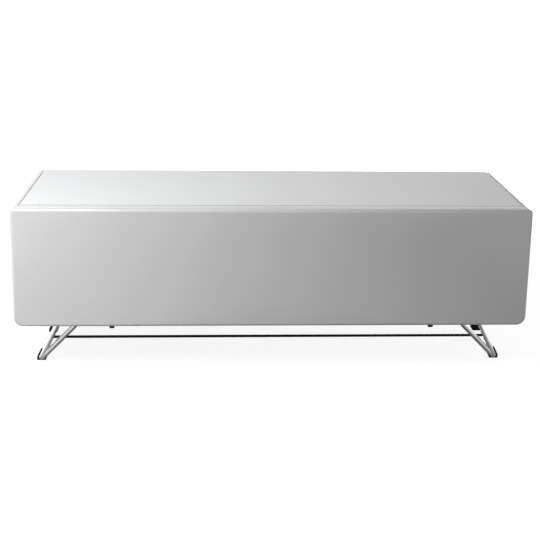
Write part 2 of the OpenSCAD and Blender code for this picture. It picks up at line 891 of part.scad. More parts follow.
module stay_bracket(s) {
    color("lightgray") difference() {
        to_side(s) {
            block(arm_x1 - bracket_w, arm_x1, inner_y, inner_y + bracket_t,
                bracket_z - bracket_h / 2, bracket_z + bracket_h / 2);
            block(arm_x0, arm_x1, inner_y, bracket_y, bracket_z - bar_w / 2,
                bracket_z + bar_w / 2);
            rod_x(arm_x0, arm_x1, bracket_y, bracket_z, eye_r);
            link_pin(bracket_y, bracket_z);
        }
        bracket_screws(s, drill_gap);
    }
}

module latch_body(s) {
    color("whitesmoke") difference() {
        union() {
            rod_y(s * latch_x, carcass_y, carcass_y + latch_len, latch_z,
                latch_d / 2);
            rod_y(s * latch_x, carcass_y - strike_t, carcass_y, latch_z,
                strike_d / 2);
        }
        rod_y(s * latch_x, carcass_y - strike_t - over, carcass_y + latch_len - latch_end,
            latch_z, plunger_d / 2 + run_gap);
    }
}

module latch_plunger(s) {
    color("gray") rod_y(s * latch_x, plunger_y, plunger_y + plunger_len, latch_z,
        plunger_d / 2);
}

module latch_strikes() {
    color("silver") for (s = [LEFT, RIGHT])
        rod_y(s * latch_x, inner_y - strike_t, inner_y, latch_z, strike_d / 2);
}

// Round bar of radius r from a to b in the leg's plane, with a round start
module leg_bar(a, b, r, round_start) {
    run = b - a;
    len = norm(run);
    translate([a[0], leg_y, a[1]]) rotate([0, atan2(run[0], run[1]), 0])
        if (round_start) rotate_extrude() intersection() {
            union() {
                circle(r);
                translate([-r, 0]) square([2 * r, len]);
            }
            translate([0, -r]) square([r, len + r]);
        }
        else translate([0, 0, start_skip]) cylinder(h = len - start_skip, r = r);
}

// Both arms of a V leg, run past the cabinet's underside
module leg_arms(r) {
    foot = [foot_x, foot_z];
    leg_bar(foot, foot + arm_run * [-steep_run, leg_rise], r, true);
    leg_bar(foot, foot + arm_run * [-shallow_run, leg_rise], r, false);
}

// Room over the leg plate, where the arms are cut off
module above_plate() {
    block(shallow_x - leg_rise, foot_x, leg_y - tube_d, leg_y + tube_d,
        base_z - plate_t, base_z + leg_rise);
}

module leg(s, d) {
    color("silver") to_corner(s, d) difference() {
        leg_arms(tube_d / 2);
        leg_arms(tube_d / 2 - tube_wall);
        above_plate();
        rod_y(bar_x, leg_y, leg_y + tube_d, bar_z, bolt_d / 2 + drill_gap);
    }
}

// Front view of the shoe round the foot of the V
module shoe_outline() {
    half = tube_d / 2 + shoe_wall;
    lean = steep_run / leg_rise;
    top_out = foot_x + half - lean * (shoe_h - shoe_low_h);
    polygon([
        [foot_x - half, 0], [foot_x + half, 0], [foot_x + half, shoe_low_h],
        [top_out, shoe_h], [top_out - shoe_wall * 2, shoe_h],
        [foot_x - tube_d / 2, foot_z + tube_d],
        [foot_x - half - 2 * shoe_wall / 3, shoe_low_h + tube_d / 3],
        [foot_x - half - shoe_wall, shoe_low_h]]);
}

module shoe(s, d) {
    color("black") to_corner(s, d) difference() {
        along_y(leg_y - shoe_front, leg_y + shoe_rear) shoe_outline();
        foot_socket();
    }
}

// Room for the tube's foot and arms, open to the front of the shoe
module foot_socket() {
    rod_y(foot_x, leg_y - tube_d / 4, leg_y + tube_d / 2 + tube_fit, foot_z,
        tube_d / 2 + 2 * tube_fit);
    translate([foot_x, leg_y, foot_z]) for (run = [steep_run, shallow_run])
        rotate([0, -atan2(run, leg_rise), 0])
            cylinder(h = 3 * tube_d, r = tube_d / 2 + tube_fit);
}

module leg_plate(s, d) {
    color("dimgray") difference() {
        to_corner(s, d) block(plate_x0, plate_x1, plate_y0, plate_y1,
            base_z - plate_t, base_z);
        plate_screws(s, d, drill_gap);
    }
}

// Screws of the leg plate, up into the bottom panel
module plate_screws(s, d, gap) {
    to_corner(s, d) for (p = leg_screws_xy) {
        rod_z(p[0], p[1], base_z - plate_t - gap, base_z + leg_screw_len + gap,
            leg_screw_d / 2 + gap);
        if (gap == 0)
            rod_z(p[0], p[1], base_z - plate_t - leg_head_t, base_z - plate_t,
                leg_head_d / 2);
    }
}

module cross_bar(d) {
    y_mid = bar_y0 + bar_eye_t / 2;
    color("black") to_corner(RIGHT, d) difference() {
        union() {
            rod_x(-bar_x, bar_x, y_mid, bar_z, bar_d / 2);
            for (s = [LEFT, RIGHT])
                rod_y(s * bar_x, bar_y0, bar_y0 + bar_eye_t, bar_z, bar_eye_r);
        }
        for (s = [LEFT, RIGHT])
            rod_y(s * bar_x, bar_y0 - over, bar_y0 + bar_eye_t + over, bar_z,
                bolt_d / 2 + drill_gap);
    }
}

module bar_bolts() {
    color("silver") for (s = [LEFT, RIGHT], d = [FRONT, REAR]) to_corner(s, d) {
        rod_y(bar_x, leg_y + tube_d / 4, bar_y0 + bar_eye_t, bar_z, bolt_d / 2);
        rod_y(bar_x, bar_y0 + bar_eye_t, bar_y0 + bar_eye_t + bolt_head_t, bar_z,
            bolt_head_d / 2);
    }
}

module leg_screws() {
    color("silver") for (s = [LEFT, RIGHT], d = [FRONT, REAR])
        plate_screws(s, d, 0);
}

side_panel(LEFT);  // side_left
side_panel(RIGHT);  // side_right
bottom_panel();
top_board();
front_rail();
centre_divider();
shelf(LEFT);  // shelf_left
shelf(RIGHT);  // shelf_right
back_panel(LEFT);  // back_left
back_panel(RIGHT);  // back_right
cable_grommets();
carcass_dowels();
shelf_pins();
back_screws();
glass_top();
glass_pads();
front_bumpers();
drop_front();
hinge_base(LEFT);  // hinge_base_left
hinge_base(RIGHT);  // hinge_base_right
hinge_leaf(LEFT);  // hinge_leaf_left
hinge_leaf(RIGHT);  // hinge_leaf_right
hinge_pins();
carcass_screws();
front_screws();
stay_damper(LEFT);  // stay_damper_left
stay_damper(RIGHT);  // stay_damper_right
stay_arm(LEFT);  // stay_arm_left
stay_arm(RIGHT);  // stay_arm_right
stay_link(LEFT);  // stay_link_left
stay_link(RIGHT);  // stay_link_right
stay_bracket(LEFT);  // stay_bracket_left
stay_bracket(RIGHT);  // stay_bracket_right
latch_body(LEFT);  // latch_body_left
latch_body(RIGHT);  // latch_body_right
latch_plunger(LEFT);  // latch_plunger_left
latch_plunger(RIGHT);  // latch_plunger_right
latch_strikes();
leg(LEFT, FRONT);  // leg_front_left
leg(RIGHT, FRONT);  // leg_front_right
leg(LEFT, REAR);  // leg_rear_left
leg(RIGHT, REAR);  // leg_rear_right
shoe(LEFT, FRONT);  // shoe_front_left
shoe(RIGHT, FRONT);  // shoe_front_right
shoe(LEFT, REAR);  // shoe_rear_left
shoe(RIGHT, REAR);  // shoe_rear_right
leg_plate(LEFT, FRONT);  // leg_plate_front_left
leg_plate(RIGHT, FRONT);  // leg_plate_front_right
leg_plate(LEFT, REAR);  // leg_plate_rear_left
leg_plate(RIGHT, REAR);  // leg_plate_rear_right
cross_bar(FRONT);  // bar_front
cross_bar(REAR);  // bar_rear
bar_bolts();
leg_screws();
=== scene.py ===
import json
import math

import bmesh
import bpy
from mathutils import Matrix, Vector


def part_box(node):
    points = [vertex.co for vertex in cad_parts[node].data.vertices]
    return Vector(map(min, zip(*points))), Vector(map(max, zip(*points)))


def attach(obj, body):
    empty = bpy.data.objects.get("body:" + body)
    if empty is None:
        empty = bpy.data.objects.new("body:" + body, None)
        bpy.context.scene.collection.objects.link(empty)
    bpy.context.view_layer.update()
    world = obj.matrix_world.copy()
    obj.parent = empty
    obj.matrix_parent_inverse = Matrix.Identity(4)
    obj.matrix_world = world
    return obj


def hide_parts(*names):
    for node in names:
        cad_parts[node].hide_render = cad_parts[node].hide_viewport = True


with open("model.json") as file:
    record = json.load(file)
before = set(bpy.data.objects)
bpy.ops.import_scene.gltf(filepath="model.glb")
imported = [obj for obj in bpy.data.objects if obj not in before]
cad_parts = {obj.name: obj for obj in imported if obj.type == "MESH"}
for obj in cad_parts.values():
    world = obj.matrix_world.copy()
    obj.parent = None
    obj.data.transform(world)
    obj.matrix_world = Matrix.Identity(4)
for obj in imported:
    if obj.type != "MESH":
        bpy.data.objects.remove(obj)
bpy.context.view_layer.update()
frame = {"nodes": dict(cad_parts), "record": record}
nodes = frame["nodes"]
scene = bpy.context.scene

# Slot of each node, and the body that it rides on
slot_of = {part["node"]: part["material_slot"] for part in frame["record"]["subparts"]}
body_of = {node: body for body, members in frame["record"]["behaviour"]["bodies"].items()
           for node in members}

# Camera, fitted to the cabinet's corners in the photograph
IMAGE_PX = 540
FOCAL_PX = 966.5
CENTRE_PX = (270, 130)
SENSOR_MM = 36
CAMERA_AT = (-0.1547, -2.8704, 1.2928)
PITCH, YAW, ROLL = (math.radians(a) for a in (11.75, 2.95, -0.99))

# Studio: its fill light, and the dark ceiling that metal and lacquer see. The
# ceiling begins between two heights, each the Z of a direction of length 1.
WHITE = (1, 1, 1, 1)
FILL_COLOUR = (1, 0.96, 0.95, 1)
FILL_LIGHT = 0.2
CEILING_Z = (0.28, 0.38)
CEILING_LIGHT = 0.04

# Floor, in metres: its half width, and the distances over which it goes from a painted
# shadow to pale and from pale to white for metal and lacquer, and to white for the camera
FLOOR_HALF = 30
PAINTED_SHADOW_FADE = (0.62, 0.78)
WHITE_ACROSS = (0.85, 1.25)
WHITE_FAR = (1.7, 2.6)
WHITE_TO_CAMERA = (1.1, 2.3)
# Glow of the floor before those distances, for metal and for the camera
NEAR_GLOW = 0.08
CAMERA_GLOW = 0.86

# Values that a noise usually stays between
NOISE_RANGE = (0.3, 0.7)

# Leg tube, how far its two arms lean inwards over their height, and how far
# apart they run at the foot
TUBE_R = 0.008
STEEP_RUN = 0.070
SHALLOW_RUN = 0.145
ARM_SPLIT = 0.004
# An arm is made this many times too long, and is then cut off at its plate
OVERRUN = 1.15
# Weld bead, and the size of its ripples as a share of it, and their number
BEAD_R = 0.0013
RIPPLE_SHARE = 0.12
RIPPLES = 18
# Shoe: its wall, its gap to the tube, the height of its upright rim, how far up
# its inner flank bends, and its soft edge
SHOE_WALL = 0.005
SHOE_FIT = 0.00015
SHOE_LOW = 0.011
FLANK_BEND = 2 / 3
SHOE_EDGE = 0.0007

# Screws and bolts. Radius and height along a head are shares of the head's own.
HEAD_PROFILE = ((0.98, 0), (1, 0.12), (1, 0.4), (0.975, 0.62), (0.92, 0.8), (0.83, 0.93), (0.7, 1))
TIP_SHARE = 0.7
TIP_START = 0.85
CROSS_REACH = 0.5
CROSS_HALF = 0.1
HEX_REACH = 0.46
RECESS_DEPTH = 0.85
RECESS_TAPER = 0.72
# Height of a bumper's straight rim, as a share of the bumper's
BUMPER_RIM = 0.15

# Sides of round pieces, and steps along their rounded ends
SCREW_SIDES = 32
BUMPER_SIDES = 40
TUBE_SIDES = 72
BEAD_SIDES = 12
BUMPER_STEPS = 7
FOOT_STEPS = 14

# Width of the soft edge, in metres, of the nodes that have one. The names leave
# out the side and end that a node is on.
SOFT_EDGES = {
    "side": 0.0009, "front_rail": 0.0009, "bottom_panel": 0.0005, "top_board": 0.0005,
    "centre_divider": 0.0006, "shelf": 0.0007, "back": 0.0006, "glass_top": 0.0008,
    "cable_grommets": 0.0007, "leg_plate": 0.0007, "hinge_base": 0.0003, "hinge_leaf": 0.0003,
    "stay_damper": 0.0006, "stay_arm": 0.0003, "stay_link": 0.0003, "stay_bracket": 0.0003}
# Edges of small holes are shorter than this and stay as they are
SHORT_EDGE = 0.00095
# Degrees under which two faces are one, and over which an edge is softened
FLAT_ANGLE = 0.5
EDGE_ANGLE = 50
# Degrees past which a piece is creased: flat pieces, round legs and shoes, beads
CREASE, ROUND_CREASE, BEAD_CREASE = 30, 35, 60

# Distances in metres under which points are one, or lie on a cut, a pin's end or its shank
SAME_POINT = 1e-6
SAME_CORNER = 1e-5
ON_PLANE = 1e-7
ON_END = 1e-5
ON_SHANK = 1e-4


def add_camera():
    """The photograph's camera. Its centre lies above the middle of the picture."""
    data = bpy.data.cameras.new("camera")
    data.sensor_width = SENSOR_MM
    data.lens = SENSOR_MM * FOCAL_PX / IMAGE_PX
    data.shift_x = 0.5 - CENTRE_PX[0] / IMAGE_PX
    data.shift_y = CENTRE_PX[1] / IMAGE_PX - 0.5
    forward = Vector((math.sin(YAW) * math.cos(PITCH),
                      math.cos(YAW) * math.cos(PITCH), -math.sin(PITCH)))
    level = Vector((math.cos(YAW), -math.sin(YAW), 0))
    down = forward.cross(level)
    right = math.cos(ROLL) * level + math.sin(ROLL) * down
    up = math.sin(ROLL) * level - math.cos(ROLL) * down
    turn = Matrix((right, up, -forward)).transposed().to_4x4()
    camera = bpy.data.objects.new("camera", data)
    camera.matrix_world = Matrix.Translation(CAMERA_AT) @ turn
    scene.collection.objects.link(camera)
    scene.camera = camera


def add_lamp(name, at, aim, width, height, watts, colour):
    """Soft rectangular lamp at one point, aimed at another."""
    data = bpy.data.lights.new(name, "AREA")
    data.shape = "RECTANGLE"
    data.size, data.size_y = width, height
    data.energy = watts
    data.color = colour
    lamp = bpy.data.objects.new(name, data)
    lamp.location = at
    lamp.rotation_mode = "QUATERNION"
    lamp.rotation_quaternion = (Vector(aim) - Vector(at)).to_track_quat("-Z", "Y")
    scene.collection.objects.link(lamp)


class Nodes:
    """A node tree under construction, with short calls for the usual nodes."""

    def __init__(self, tree):
        self.tree = tree

    def plug(self, value, socket):
        """Links another node's output to a socket, or sets the socket to a plain value."""
        if isinstance(value, bpy.types.NodeSocket):
            self.tree.links.new(value, socket)
        else:
            socket.default_value = value

    def add(self, kind, **inputs):
        """New node. An underscore in the name of an input stands for a space."""
        node = self.tree.nodes.new("ShaderNode" + kind)
        for name, value in inputs.items():
            self.plug(value, node.inputs[name.replace("_", " ")])
        return node

    def rescale(self, value, start, end, low, high):
        """Low up to start, high from end on, and a straight line between them."""
        node = self.add("MapRange", Value=value, From_Min=start, From_Max=end,
                        To_Min=low, To_Max=high)
        return node.outputs["Result"]

    def mix(self, factor, first, second, kind="RGBA"):
        """Blend of two colours, or of two numbers where the kind is FLOAT."""
        node = self.tree.nodes.new("ShaderNodeMix")
        node.data_type = kind
        for name, value in (("Factor", factor), ("A", first), ("B", second)):
            self.plug(value, node.inputs[name])
        return node.outputs["Result"]

    def calculate(self, operation, *values):
        node = self.tree.nodes.new("ShaderNodeMath")
        node.operation = operation
        for value, socket in zip(values, node.inputs):
            self.plug(value, socket)
        return node.outputs["Value"]


class Shader(Nodes):
    """A material with one Principled surface."""

    def __init__(self, name, **sockets):
        self.material = bpy.data.materials.new(name)
        self.material.use_nodes = True
        super().__init__(self.material.node_tree)
        self.surface = self.tree.nodes["Principled BSDF"]
        for socket, value in sockets.items():
            self.feed(socket.replace("_", " "), value)

    def feed(self, socket, value):
        self.plug(value, self.surface.inputs[socket])

    def noise(self, scale, detail, stretch=(1, 1, 1)):
        """Noise over the object's own metres, squeezed along each axis by stretch."""
        spot = self.add("TexCoord").outputs["Object"]
        spot = self.add("Mapping", Vector=spot, Scale=stretch).outputs["Vector"]
        return self.add("TexNoise", Vector=spot, Scale=scale, Detail=detail).outputs["Fac"]

    def vary_colour(self, noise, dark, light):
        colour = self.mix(self.rescale(noise, *NOISE_RANGE, 0, 1), dark, light)
        self.feed("Base Color", colour)
        return colour

    def vary_roughness(self, noise, low, high):
        self.feed("Roughness", self.rescale(noise, *NOISE_RANGE, low, high))

    def bump(self, noise, depth, strength):
        node = self.add("Bump", Height=noise, Distance=depth, Strength=strength)
        self.feed("Normal", node.outputs["Normal"])


def grey(level, tint=(1, 1, 1)):
    """Linear colour of an sRGB level from 0 to 255, times a tint."""
    value = level / 255
    linear = value / 12.92 if value <= 0.04045 else ((value + 0.055) / 1.055) ** 2.4
    return (*(linear * t for t in tint), 1)


def gloss_lacquer():
    s = Shader("gloss_lacquer", Coat_Weight=0.6, Coat_Roughness=0.04, Coat_IOR=1.5)
    s.vary_colour(s.noise(scale=3, detail=3), dark=grey(224, (1, 0.982, 0.978)),
                  light=grey(228, (1, 0.985, 0.982)))
    s.vary_roughness(s.noise(scale=14, detail=4), low=0.16, high=0.24)
    s.bump(s.noise(scale=220, detail=1), depth=0.00002, strength=0.35)
    return s.material


def satin_foil():
    s = Shader("satin_foil")
    s.vary_colour(s.noise(scale=6, detail=3), dark=grey(220), light=grey(226))
    s.vary_roughness(s.noise(scale=40, detail=3), low=0.34, high=0.46)
    s.bump(s.noise(scale=900, detail=2), depth=0.00004, strength=0.4)
    return s.material


def back_paint():
    s = Shader("back_paint")
    s.vary_colour(s.noise(scale=9, detail=4), dark=grey(210), light=grey(218))
    s.vary_roughness(s.noise(scale=60, detail=4), low=0.55, high=0.7)
    s.bump(s.noise(scale=1400, detail=4), depth=0.00006, strength=0.5)
    return s.material


def painted_glass():
    """White paint seen through glass, with the green of the glass at its edges."""
    s = Shader("painted_glass", IOR=1.52)
    paint = s.vary_colour(s.noise(scale=2, detail=2), dark=grey(230, (0.985, 0.995, 1)),
                          light=grey(233, (0.99, 1, 1)))
    normal = s.add("NewGeometry").outputs["True Normal"]
    upward = s.add("SeparateXYZ", Vector=normal).outputs["Z"]
    flat = s.rescale(upward, start=0.5, end=0.95, low=0, high=1)
    s.feed("Base Color", s.mix(flat, grey(196, (0.72, 1, 0.9)), paint))
    s.vary_roughness(s.noise(scale=9, detail=4), low=0.03, high=0.07)
    return s.material


def chrome():
    s = Shader("chrome", Metallic=1.0)
    s.vary_colour(s.noise(scale=30, detail=2), dark=grey(212), light=grey(222))
    s.vary_roughness(s.noise(scale=90, detail=5, stretch=(1, 1, 0.3)), low=0.04, high=0.09)
    s.bump(s.noise(scale=500, detail=2), depth=0.000006, strength=0.3)
    return s.material


def black_plastic():
    s = Shader("black_plastic", Specular_IOR_Level=0.3)
    s.vary_colour(s.noise(scale=70, detail=3), dark=grey(13), light=grey(20))
    s.vary_roughness(s.noise(scale=200, detail=3), low=0.45, high=0.6)
    s.bump(s.noise(scale=2200, detail=2), depth=0.00005, strength=0.6)
    return s.material


def black_coat():
    s = Shader("black_coat", Specular_IOR_Level=0.25)
    s.vary_colour(s.noise(scale=40, detail=3), dark=grey(10), light=grey(16))
    s.vary_roughness(s.noise(scale=120, detail=3), low=0.32, high=0.45)
    s.bump(s.noise(scale=1200, detail=2), depth=0.00004, strength=0.6)
    return s.material


def zinc_plate():
    s = Shader("zinc_plate", Metallic=1.0)
    s.vary_colour(s.noise(scale=60, detail=4), dark=grey(190), light=grey(208, (0.99, 1, 1.02)))
    s.vary_roughness(s.noise(scale=300, detail=4, stretch=(1, 0.15, 1)), low=0.26, high=0.42)
    s.bump(s.noise(scale=900, detail=3, stretch=(1, 0.1, 1)), depth=0.00002, strength=0.5)
    return s.material


def screw_steel():
    s = Shader("screw_steel", Metallic=1.0)
    s.vary_colour(s.noise(scale=200, detail=3), dark=grey(176), light=grey(198))
    s.vary_roughness(s.noise(scale=700, detail=3), low=0.24, high=0.38)
    s.bump(s.noise(scale=1800, detail=2), depth=0.00002, strength=0.5)
    return s.material


def grey_plastic():
    s = Shader("grey_plastic")
    s.vary_colour(s.noise(scale=50, detail=3), dark=grey(142), light=grey(150))
    s.vary_roughness(s.noise(scale=160, detail=3), low=0.4, high=0.52)
    s.bump(s.noise(scale=2000, detail=2), depth=0.00004, strength=0.6)
    return s.material


def pale_plastic():
    s = Shader("pale_plastic")
    s.vary_colour(s.noise(scale=50, detail=3), dark=grey(224), light=grey(230))
    s.vary_roughness(s.noise(scale=160, detail=3), low=0.32, high=0.44)
    s.bump(s.noise(scale=2000, detail=2), depth=0.00003, strength=0.5)
    return s.material


def clear_pad():
    s = Shader("clear_pad", Transmission_Weight=0.7, IOR=1.43)
    s.vary_colour(s.noise(scale=90, detail=2), dark=grey(222), light=grey(232))
    s.vary_roughness(s.noise(scale=300, detail=3), low=0.3, high=0.42)
    return s.material


def beech():
    s = Shader("beech")
    s.vary_colour(s.noise(scale=120, detail=5, stretch=(0.08, 1, 1)),
                  dark=grey(196, (1, 0.78, 0.52)), light=grey(214, (1, 0.84, 0.6)))
    s.vary_roughness(s.noise(scale=300, detail=3), low=0.55, high=0.7)
    s.bump(s.noise(scale=600, detail=4, stretch=(0.05, 1, 1)), depth=0.00008, strength=0.6)
    return s.material


FINISHES = {
    "gloss_white": gloss_lacquer, "inner_white": satin_foil, "back_white": back_paint,
    "white_glass": painted_glass, "chrome_tube": chrome, "black_plastic": black_plastic,
    "black_steel": black_coat, "bright_steel": zinc_plate, "screw_steel": screw_steel,
    "grey_plastic": grey_plastic, "pale_plastic": pale_plastic, "clear_pad": clear_pad,
    "beech": beech}


def dress_nodes():
    """Gives each CAD node the finish of its slot, and returns the finishes."""
    made = {slot: make() for slot, make in FINISHES.items()}
    for name, slot in slot_of.items():
        mesh = nodes[name].data
        mesh.materials.clear()
        mesh.materials.append(made[slot])
    return made


def new_piece(name, like, bm, crease=CREASE):
    """Turns a bmesh into a piece on the body of the node that it is like, with the finish of that
    node's slot.

    Edges that turn by more than crease, in degrees, are sharp.
    """
    body, slot = body_of[like], slot_of[like]
    mesh = bpy.data.meshes.new(name)
    bm.to_mesh(mesh)
    bm.free()
    mesh.shade_smooth()
    mesh.set_sharp_from_angle(angle=math.radians(crease))
    mesh.materials.append(finishes[slot])
    piece = bpy.data.objects.new(name, mesh)
    scene.collection.objects.link(piece)
    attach(piece, body)
    return piece


def turn_to(way):
    """Matrix that turns +Z to way."""
    return Vector(way).to_track_quat("Z", "Y").to_matrix().to_4x4()


def quarter_turn(steps):
    """Angles from 0 to 90 degrees, without the first and last."""
    return [math.pi / 2 * k / steps for k in range(1, steps)]


def corners(points):
    """Lowest and highest corner of the box round some points."""
    return (Vector(min(p[i] for p in points) for i in range(3)),
            Vector(max(p[i] for p in points) for i in range(3)))


def lathe(bm, profile, place, sides):
    """Surface turned from a profile of (radius, height), and its last ring.

    Its start is closed. Its end is left open, unless the profile ends on the axis.
    """
    rings = []
    for radius, height in profile:
        if radius == 0:
            rings.append([bm.verts.new(place @ Vector((0, 0, height)))])
            continue
        ring = []
        for k in range(sides):
            angle = 2 * math.pi * k / sides
            at = Vector((radius * math.cos(angle), radius * math.sin(angle), height))
            ring.append(bm.verts.new(place @ at))
        rings.append(ring)
    for low, high in zip(rings, rings[1:]):
        for k in range(sides):
            n = (k + 1) % sides
            if len(low) == 1:
                bm.faces.new((low[0], high[n], high[k]))
            elif len(high) == 1:
                bm.faces.new((low[k], low[n], high[0]))
            else:
                bm.faces.new((low[k], low[n], high[n], high[k]))
    if len(rings[0]) > 1:
        bm.faces.new(reversed(rings[0]))
    return rings[-1]


def close_with_recess(bm, ring, outline, place, height):
    """Fills a flat ring at this height, leaving a socket of the given outline sunk into it."""
    loops = []
    for drop, scale in ((0, 1), (height * RECESS_DEPTH, RECESS_TAPER)):
        loops.append([bm.verts.new(place @ Vector((x * scale, y * scale, height - drop)))
                      for x, y in outline])
    top, low = loops
    count = len(outline)
    edges = [bm.edges.new((top[k], top[(k + 1) % count])) for k in range(count)]
    edges += [bm.edges.get((ring[k], ring[(k + 1) % len(ring)])) for k in range(len(ring))]
    up = (place.to_3x3() @ Vector((0, 0, 1))).normalized()
    made = bmesh.ops.triangle_fill(bm, use_beauty=True, edges=edges, normal=up)
    for face in made["geom"]:
        if isinstance(face, bmesh.types.BMFace) and face.normal.dot(up) < 0:
            face.normal_flip()
    for k in range(count):
        n = (k + 1) % count
        bm.faces.new((top[k], top[n], low[n], low[k]))
    bm.faces.new(low)


def cross_outline(head):
    """Cross socket for a head of this radius, anticlockwise."""
    reach, half = head * CROSS_REACH, head * CROSS_HALF
    arm = ((reach, -half), (reach, half), (half, half))
    return [(x * c - y * s, x * s + y * c)
            for c, s in ((1, 0), (0, 1), (-1, 0), (0, -1)) for x, y in arm]


def hex_outline(head):
    """Hexagon socket for a head of this radius, anticlockwise."""
    reach = head * HEX_REACH
    return [(reach * math.cos(a), reach * math.sin(a))
            for a in (math.pi / 3 * k for k in range(6))]


def islands(node):
    """Points of each separate solid of a node, in the order of their lowest corners."""
    bm = bmesh.new()
    bm.from_mesh(nodes[node].data)
    bmesh.ops.remove_doubles(bm, verts=bm.verts, dist=SAME_POINT)
    left = set(bm.verts)
    groups = []
    while left:
        stack = [left.pop()]
        group = []
        while stack:
            vert = stack.pop()
            group.append(vert.co.copy())
            for edge in vert.link_edges:
                other = edge.other_vert(vert)
                if other in left:
                    left.remove(other)
                    stack.append(other)
        groups.append(group)
    bm.free()
    groups.sort(key=lambda group: tuple(round(c, 4) for c in corners(group)[0]))
    return groups


def measure(points):
    """Seat of the head, direction and sizes of a headed pin, from its points."""
    low, high = corners(points)
    size = high - low
    axis = max(range(3), key=lambda i: size[i])
    middle = (low + high) / 2

    def off_axis(point):
        away = point - middle
        away[axis] = 0
        return away.length

    at_low = max(off_axis(p) for p in points if p[axis] < low[axis] + ON_END)
    at_high = max(off_axis(p) for p in points if p[axis] > high[axis] - ON_END)
    shank, head = sorted((at_low, at_high))
    in_head = [p[axis] for p in points if off_axis(p) > shank + ON_SHANK]
    thick = max(in_head) - min(in_head)
    seat, way = Vector(middle), Vector((0, 0, 0))
    seat[axis], way[axis] = (min(in_head), 1) if at_high > at_low else (max(in_head), -1)
    return seat, way, shank, head, thick, size[axis] - thick


def add_screws(node, socket):
    """Screws or bolts with a rounded head and a socket, where the node's solids are."""
    bm = bmesh.new()
    for points in islands(node):
        seat, way, shank, head, thick, length = measure(points)
        place = Matrix.Translation(seat) @ turn_to(way)
        profile = [(shank * TIP_SHARE, -length), (shank, -length * TIP_START), (shank, 0)]
        profile += [(head * radius, thick * height) for radius, height in HEAD_PROFILE]
        ring = lathe(bm, profile, place, SCREW_SIDES)
        close_with_recess(bm, ring, socket(head), place, thick)
    piece = new_piece(node + "_cut", node, bm)
    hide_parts(node)


def add_bumpers():
    """Domed bumpers on the cabinet's front edges, facing the drop front."""
    bm = bmesh.new()
    for points in islands("front_bumpers"):
        low, high = corners(points)
        radius, height = (high.x - low.x) / 2, high.y - low.y
        seat = Vector(((low.x + high.x) / 2, high.y, (low.z + high.z) / 2))
        profile = [(radius, 0), (radius, height * BUMPER_RIM)]
        profile += [(radius * math.cos(a), height * (BUMPER_RIM + (1 - BUMPER_RIM) * math.sin(a)))
                    for a in quarter_turn(BUMPER_STEPS)]
        profile.append((0, height))
        lathe(bm, profile, Matrix.Translation(seat) @ turn_to((0, -1, 0)), BUMPER_SIDES)
    piece = new_piece("bumper_domes", "front_bumpers", bm)
    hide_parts("front_bumpers")


def solid(bm):
    """Temporary object for a boolean."""
    mesh = bpy.data.meshes.new("step")
    bm.to_mesh(mesh)
    bm.free()
    made = bpy.data.objects.new("step", mesh)
    scene.collection.objects.link(made)
    return made


def combine(base, others, operation):
    """Boolean of base with the others, as a bmesh. The temporary objects go away."""
    for other in others:
        step = base.modifiers.new("step", "BOOLEAN")
        step.operation = operation
        step.solver = "EXACT"
        step.object = other
    graph = bpy.context.evaluated_depsgraph_get()
    mesh = bpy.data.meshes.new_from_object(base.evaluated_get(graph))
    bm = bmesh.new()
    bm.from_mesh(mesh)
    bpy.data.meshes.remove(mesh)
    for used in (base, *others):
        data = used.data
        bpy.data.objects.remove(used)
        bpy.data.meshes.remove(data)
    return bm


def arm_solid(foot, top, radius):
    """Round bar from a foot, where it ends in a half ball, to some way past its top."""
    end = foot + (top - foot) * OVERRUN
    run = end - foot
    bm = bmesh.new()
    profile = [(0, -radius)]
    profile += [(radius * math.sin(a), -radius * math.cos(a)) for a in quarter_turn(FOOT_STEPS)]
    profile += [(radius, 0), (radius, run.length)]
    ring = lathe(bm, profile, Matrix.Translation(foot) @ turn_to(run), TUBE_SIDES)
    bm.faces.new(ring)
    return solid(bm)


def leg_tube(arms, plate_z):
    """Both arms of a leg as one form, cut off level at the underside of its plate."""
    first, second = (arm_solid(foot, top, TUBE_R) for foot, top in arms)
    bm = combine(first, [second], "UNION")
    cut = bmesh.ops.bisect_plane(
        bm, geom=[*bm.verts, *bm.edges, *bm.faces], dist=ON_PLANE,
        plane_co=(0, 0, plate_z), plane_no=(0, 0, 1), clear_outer=True)
    rim = [e for e in cut["geom_cut"] if isinstance(e, bmesh.types.BMEdge)]
    bmesh.ops.edgeloop_fill(bm, edges=rim)
    bmesh.ops.recalc_face_normals(bm, faces=bm.faces)
    return bm


def leg_welds(arms, plate_z):
    """Weld bead round each leaning arm, where it meets its level plate."""
    bm = bmesh.new()
    for foot, top in arms:
        run = top - foot
        centre = foot + run * ((plate_z - foot.z) / run.z)
        lean = math.atan2(abs(run.x), run.z)
        rings = []
        for k in range(TUBE_SIDES):
            angle = 2 * math.pi * k / TUBE_SIDES
            out = Vector((math.cos(angle), math.sin(angle), 0))
            rim = Vector((out.x * TUBE_R / math.cos(lean), out.y * TUBE_R, 0))
            size = BEAD_R * (1 + RIPPLE_SHARE * math.sin(RIPPLES * angle))
            ring = []
            for j in range(BEAD_SIDES):
                turn = 2 * math.pi * j / BEAD_SIDES
                at = centre + rim + out * size * math.cos(turn)
                at.z += size * math.sin(turn)
                ring.append(bm.verts.new(at))
            rings.append(ring)
        for k in range(TUBE_SIDES):
            for j in range(BEAD_SIDES):
                a, b = rings[k], rings[(k + 1) % TUBE_SIDES]
                n = (j + 1) % BEAD_SIDES
                bm.faces.new((a[j], b[j], b[n], a[n]))
    return bm


